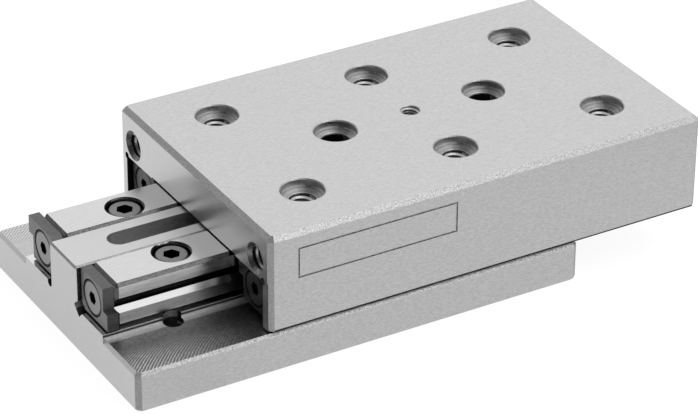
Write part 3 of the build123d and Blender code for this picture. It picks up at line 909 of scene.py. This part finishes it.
def add_piece(name, bm, material, body):
    """A new piece from a bmesh, on one body and with the finish of a slot."""
    bmesh.ops.recalc_face_normals(bm, faces=bm.faces[:])
    mesh = bpy.data.meshes.new(name)
    bm.to_mesh(mesh)
    bm.free()
    mesh.materials.append(material)
    piece = bpy.data.objects.new(name, mesh)
    bpy.context.scene.collection.objects.link(piece)
    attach(piece, body)


class SLIDE_OT_threads(bpy.types.Operator):
    """Cut the threads of the carriage's tapped holes"""

    bl_idname = "slide.threads"
    bl_label = "Threads"

    def execute(self, context):
        threads = context.scene.slide_threads
        finishes = context.scene.slide_finishes
        # Tapped tool steel: bright crests that the tap has rubbed.
        material, tree, place = new_finish("tapped_tool_steel")
        grain = flecks(tree, place, size=0.15 * MM)
        end_finish(material, tone(tree, grain, finishes.ground_dark, finishes.ground_light),
                   add_node(tree, "MapRange", {"Value": grain, "To Min": 0.28, "To Max": 0.42}))

        down = Vector((0, 0, -1))
        mounts = bmesh.new()
        for along in (-threads.spacing_x, 0, threads.spacing_x):
            for side in (-threads.spacing_y, threads.spacing_y):
                mouth = Vector((CARRIAGE_MIDDLE + along, side, CARRIAGE_HIGH.z))
                cut_thread(mounts, mouth, down, threads.mount_radius, threads.mount_top,
                           threads.mount_end, threads.mount_pitch, threads.steps)
        add_piece("top_hole_threads", mounts, material, "carriage_group")

        centre = bmesh.new()
        cut_thread(centre, Vector((CARRIAGE_MIDDLE, 0, CARRIAGE_HIGH.z)), down, threads.stop_radius,
                   threads.stop_top, threads.stop_end, threads.stop_pitch, threads.steps)
        add_piece("centre_hole_thread", centre, material, "carriage_group")

        ends = bmesh.new()
        for end_x, inward in ((CARRIAGE_LOW.x, 1), (CARRIAGE_HIGH.x, -1)):
            for side in (-1, 1):
                mouth = Vector((end_x, side * (CARRIAGE_HIGH.y - threads.end_inset),
                                CARRIAGE_HIGH.z - threads.end_drop))
                cut_thread(ends, mouth, Vector((inward, 0, 0)), threads.mount_radius,
                           threads.end_top, threads.end_depth, threads.mount_pitch, threads.steps)
        add_piece("end_hole_threads", ends, material, "carriage_group")
        return {"FINISHED"}


# Stage


class SLIDE_OT_stage(bpy.types.Operator):
    """Lay the floor, hang the light and set the camera"""

    bl_idname = "slide.stage"
    bl_label = "Stage"

    def execute(self, context):
        scene = context.scene
        stage = scene.slide_stage

        bm = bmesh.new()
        bmesh.ops.create_grid(bm, x_segments=1, y_segments=1, size=stage.floor_reach)
        mesh = bpy.data.meshes.new("floor")
        bm.to_mesh(mesh)
        bm.free()
        floor = bpy.data.objects.new("floor", mesh)
        scene.collection.objects.link(floor)
        # Matt paper: the light falls on it for the object's shadow, and it glows to the camera.
        material = bpy.data.materials.new("matt_paper")
        material.use_nodes = True
        tree = material.node_tree
        tree.nodes.clear()
        paper = add_node(tree, "BsdfDiffuse", {"Color": linear(stage.floor_colour)})
        # In metal it glows in a pool round the object, so that little light comes low into the
        # channel.
        rays = add_node(tree, "LightPath").outputs
        place = add_node(tree, "TexCoord").outputs["Object"]
        pool = add_node(tree, "MapRange", {
            "Value": add_node(tree, "VectorMath", (place,), operation="LENGTH"),
            "From Min": stage.pool_radius, "From Max": stage.pool_edge,
            "To Min": stage.floor_in_metal, "To Max": stage.floor_far})
        strength = add_node(tree, "MapRange", {
            "Value": rays["Is Camera Ray"], "To Min": pool, "To Max": stage.floor_in_view})
        glow = add_node(tree, "Emission", {"Color": linear("#FFFFFF"), "Strength": strength})
        seen = any_of(
            tree, rays["Is Camera Ray"], rays["Is Glossy Ray"], rays["Is Transmission Ray"])
        share = joined(tree, "MULTIPLY", seen, stage.floor_glow)
        add_node(tree, "OutputMaterial", {
            "Surface": add_node(tree, "MixShader", (share, paper, glow))})
        mesh.materials.append(material)

        # A soft room: brightest to both sides and the rear, and dim off the end that the camera
        # sees, so that the channel under the carriage stays dark.
        world = bpy.data.worlds.new("studio")
        scene.world = world
        world.use_nodes = True
        tree = world.node_tree
        tree.nodes.clear()
        direction = add_node(tree, "TexCoord").outputs["Generated"]
        x, y, z = add_node(tree, "SeparateXYZ", (direction,)).outputs
        even = joined(
            tree, "ADD", joined(tree, "MULTIPLY", y, y, stage.sky_sides),
            joined(tree, "MULTIPLY", x, stage.sky_lean), joined(tree, "MULTIPLY", z, stage.sky_rise),
            stage.sky_middle)
        # The dim end reaches less far round on the far side.
        far = joined(tree, "MAXIMUM", y, 0.0)
        fade = add_node(tree, "MapRange", {
            "Value": joined(tree, "ADD", joined(tree, "MULTIPLY", far, stage.sky_far_lift), x),
            "From Min": -stage.sky_end_reach, "From Max": 0.0, "To Min": stage.sky_end})
        level = joined(tree, "MAXIMUM", joined(tree, "MULTIPLY", even, fade), stage.sky_least)
        sky = add_node(tree, "Background", {"Color": linear("#FFFFFF"), "Strength": level})
        add_node(tree, "OutputWorld", {"Surface": sky})

        # One soft lamp high over the near side brightens the bevels that look up to it.
        light = bpy.data.lights.new("key_lamp", "AREA")
        light.energy = stage.key_power
        light.size = stage.key_size
        lamp = bpy.data.objects.new("key_lamp", light)
        scene.collection.objects.link(lamp)
        lamp.location = stage.key_place
        lamp.rotation_euler = (-lamp.location).to_track_quat("-Z", "Y").to_euler()

        # The camera looks along the negative of back.
        turn, lift, roll = stage.azimuth, stage.elevation, stage.roll
        back = Vector((math.sin(turn) * math.cos(lift), -math.cos(turn) * math.cos(lift),
                       math.sin(lift)))
        right = Vector((0, 0, 1)).cross(back).normalized()
        up = back.cross(right)
        x_axis = right * math.cos(roll) + up * math.sin(roll)
        y_axis = up * math.cos(roll) - right * math.sin(roll)
        data = bpy.data.cameras.new("photo_camera")
        data.sensor_width = stage.sensor
        data.lens = stage.lens
        data.clip_start = stage.nearest
        camera = bpy.data.objects.new("photo_camera", data)
        scene.collection.objects.link(camera)
        matrix = Matrix((x_axis, y_axis, back)).transposed().to_4x4()
        matrix.translation = Vector(stage.target) + back * stage.distance
        camera.matrix_world = matrix
        scene.camera = camera
        scene.view_settings.view_transform = "Standard"
        return {"FINISHED"}


class SLIDE_PT_panel(bpy.types.Panel):
    """Sizes, colours and steps of the slide"""

    bl_idname = "SLIDE_PT_panel"
    bl_label = "Crossed Roller Slide"
    bl_space_type = "VIEW_3D"
    bl_region_type = "UI"
    bl_category = "Slide"

    def draw(self, context):
        for group in (context.scene.slide_threads, context.scene.slide_finishes,
                      context.scene.slide_stage):
            box = self.layout.box()
            for name in group.__annotations__:
                box.prop(group, name)
        for step in STEPS:
            self.layout.operator(step.bl_idname)


GROUPS = {
    "slide_threads": SlideThreads,
    "slide_finishes": SlideFinishes,
    "slide_stage": SlideStage,
}

STEPS = (
    SLIDE_OT_carriage_finish,
    SLIDE_OT_base_finish,
    SLIDE_OT_rail_finish,
    SLIDE_OT_end_plate_finish,
    SLIDE_OT_screw_finish,
    SLIDE_OT_roller_finish,
    SLIDE_OT_threads,
    SLIDE_OT_stage,
)


def register():
    for name, group in GROUPS.items():
        bpy.utils.register_class(group)
        setattr(bpy.types.Scene, name, PointerProperty(type=group))
    for step in STEPS:
        bpy.utils.register_class(step)
    bpy.utils.register_class(SLIDE_PT_panel)


def unregister():
    bpy.utils.unregister_class(SLIDE_PT_panel)
    for step in reversed(STEPS):
        bpy.utils.unregister_class(step)
    for name, group in GROUPS.items():
        delattr(bpy.types.Scene, name)
        bpy.utils.unregister_class(group)


def main():
    register()
    bpy.ops.slide.carriage_finish()
    bpy.ops.slide.base_finish()
    bpy.ops.slide.rail_finish()
    bpy.ops.slide.end_plate_finish()
    bpy.ops.slide.screw_finish()
    bpy.ops.slide.roller_finish()
    bpy.ops.slide.threads()
    bpy.ops.slide.stage()


if __name__ == "__main__":
    main()
